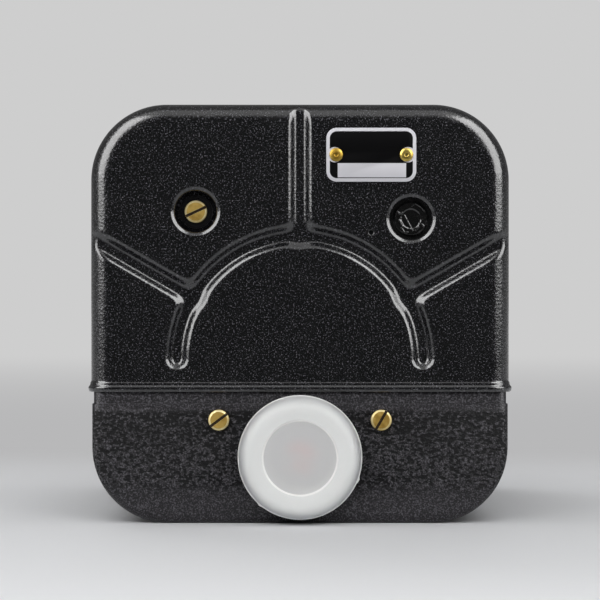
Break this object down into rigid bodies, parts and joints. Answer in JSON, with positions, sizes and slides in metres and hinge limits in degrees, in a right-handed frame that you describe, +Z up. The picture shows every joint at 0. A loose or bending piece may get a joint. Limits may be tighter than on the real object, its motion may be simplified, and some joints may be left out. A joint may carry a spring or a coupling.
{
  "type": "attitude indicator",
  "caption": "Panel gyro horizon: ribbed black rear cover on a cast base, capped receptacle, rolling aircraft symbol over a pitch drum, trim knob, push button and gimballed gyro.",
  "frame": {"origin": "centre of the four panel screws, on the bezel's front face", "axes": "+X to the pilot's right, +Y from the panel face to the rear, +Z up"},
  "size_m": [0.129, 0.2358, 0.127],
  "materials": {
    "case_black": "gloss",
    "base_black": "textured",
    "bezel_black": "satin",
    "plate_black": "satin",
    "brass": "satin",
    "steel": "satin",
    "screw_black": "satin",
    "mastic": "matt",
    "shell_metal": "satin",
    "insert_grey": "matt",
    "pin_gold": "polished",
    "cap_white": "translucent",
    "window_glass": "clear",
    "gasket_black": "matt",
    "mask_black": "matt",
    "slip_glass": "clear",
    "rest_white": "matt",
    "ball_black": "gloss",
    "alloy": "machined",
    "alloy_black": "anodised",
    "symbol_orange": "matt paint",
    "drum_paint": "matt paint",
    "motor_steel": "satin",
    "knob_black": "satin",
    "button_red": "satin",
    "flag_red": "matt paint",
    "switch_plastic": "matt",
    "rotor_steel": "machined",
    "winding": "varnished",
    "board_green": "satin",
    "index_yellow": "matt paint"
  },
  "bodies": {
    "case": {"upper_cover": "case_black", "base_housing": "base_black", "front_bezel": "bezel_black", "data_plate": "plate_black", "plate_rivets": "brass", "cover_screws": "brass", "cup_washers": "steel", "seal_mastic": "mastic", "base_rear_screws": "brass", "connector_shell": "shell_metal", "connector_insert": "insert_grey", "connector_pins": "pin_gold", "bezel_screws": "screw_black", "glass_ring": "bezel_black", "cover_glass": "window_glass", "glass_gasket": "gasket_black", "dial_mask": "mask_black", "slip_tube": "slip_glass", "slip_tube_rest": "rest_white", "front_plate": "alloy", "ring_bearing": "alloy_black", "roll_servo_motor": "motor_steel", "drum_side_plates": "alloy", "pitch_servo_motor": "motor_steel", "control_bushes": "brass", "return_spring": "steel", "erect_switch": "switch_plastic", "flag_actuator": "motor_steel", "mid_bulkhead": "alloy", "rear_bulkhead": "alloy", "tie_rods": "steel", "shaft_bearings": "steel", "roll_synchro": "motor_steel", "brush_block": "switch_plastic", "amplifier_board": "board_green"},
    "roll_ring_body": {"roll_ring": "alloy_black", "aircraft_silhouette": "symbol_orange"},
    "roll_pinion_body": {"roll_pinion": "brass"},
    "drum_body": {"pitch_drum": "drum_paint", "drum_shaft": "steel", "drum_gear": "brass"},
    "pitch_pinion_body": {"pitch_pinion": "brass"},
    "trim_index_body": {"trim_index": "index_yellow"},
    "trim_knob_body": {"trim_knob": "knob_black"},
    "erect_button_body": {"erect_button": "button_red"},
    "warning_flag_body": {"warning_flag": "flag_red"},
    "slip_ball_body": {"slip_ball": "ball_black"},
    "connector_cap_body": {"connector_cap": "cap_white"},
    "roll_gimbal_body": {"roll_gimbal": "alloy", "slip_rings": "pin_gold", "pitch_bearings": "steel", "pitch_torquer": "motor_steel", "pitch_synchro": "motor_steel"},
    "gyro_housing_body": {"gyro_housing": "alloy", "gyro_housing_cap": "alloy", "gyro_stator": "winding", "rotor_bearings": "steel", "levelling_switch": "switch_plastic"},
    "gyro_rotor_body": {"gyro_rotor": "rotor_steel"}
  },
  "joints": [
    {"name": "gimbal_roll", "type": "hinge", "parent": "case", "child": "roll_gimbal_body", "pos_m": [0, 0.145, 0.004], "axis": [0, 1, 0], "continuous": true},
    {"name": "gyro_pitch", "type": "hinge", "parent": "roll_gimbal_body", "child": "gyro_housing_body", "pos_m": [0, 0.145, 0.004], "axis": [1, 0, 0], "range_deg": [-80, 80]},
    {"name": "rotor_spin", "type": "hinge", "parent": "gyro_housing_body", "child": "gyro_rotor_body", "pos_m": [0, 0.145, 0.004], "axis": [0, 0, 1], "continuous": true},
    {"name": "ring_roll", "type": "hinge", "parent": "case", "child": "roll_ring_body", "pos_m": [0, 0.0185, 0.004], "axis": [0, 1, 0], "continuous": true},
    {"name": "roll_pinion_spin", "type": "hinge", "parent": "case", "child": "roll_pinion_body", "pos_m": [0.04547, 0.02, 0.03025], "axis": [0, 1, 0], "continuous": true},
    {"name": "drum_pitch", "type": "hinge", "parent": "case", "child": "drum_body", "pos_m": [0, 0.0535, 0.004], "axis": [1, 0, 0], "range_deg": [-80, 80]},
    {"name": "pitch_pinion_spin", "type": "hinge", "parent": "case", "child": "pitch_pinion_body", "pos_m": [-0.0395, 0.08361, 0.03744], "axis": [1, 0, 0], "range_deg": [-160, 160]},
    {"name": "knob_turn", "type": "hinge", "parent": "case", "child": "trim_knob_body", "pos_m": [-0.033, -0.007, -0.0505], "axis": [0, 1, 0], "range_deg": [-180, 180]},
    {"name": "index_trim", "type": "hinge", "parent": "case", "child": "trim_index_body", "pos_m": [-0.035, 0.0535, 0.004], "axis": [1, 0, 0], "range_deg": [-12, 12]},
    {"name": "button_push", "type": "slide", "parent": "case", "child": "erect_button_body", "axis": [0, 1, 0], "range_m": [0, 0.006], "stiffness_N_per_m": 350, "springref_m": -0.004, "deforming": ["return_spring"]},
    {"name": "flag_swing", "type": "hinge", "parent": "case", "child": "warning_flag_body", "pos_m": [-0.047, 0.0229, 0.033], "axis": [0, -1, 0], "range_deg": [0, 28], "stiffness_Nm_per_rad": 0.002, "springref_deg": -17.19},
    {"name": "ball_roll", "type": "hinge", "parent": "case", "child": "slip_ball_body", "pos_m": [0, 0.0085, 0.033], "axis": [0, 1, 0], "range_deg": [-10, 10]},
    {"name": "cap_pull", "type": "slide", "parent": "case", "child": "connector_cap_body", "axis": [0, 1, 0], "range_m": [0, 0.03]}
  ],
  "couplings": [
    {"joint": "ring_roll", "follows": "gimbal_roll", "ratio": -1},
    {"joint": "roll_pinion_spin", "follows": "gimbal_roll", "ratio": 5},
    {"joint": "drum_pitch", "follows": "gyro_pitch", "ratio": -1},
    {"joint": "pitch_pinion_spin", "follows": "gyro_pitch", "ratio": 2},
    {"joint": "index_trim", "follows": "knob_turn", "ratio": 0.0666}
  ]
}
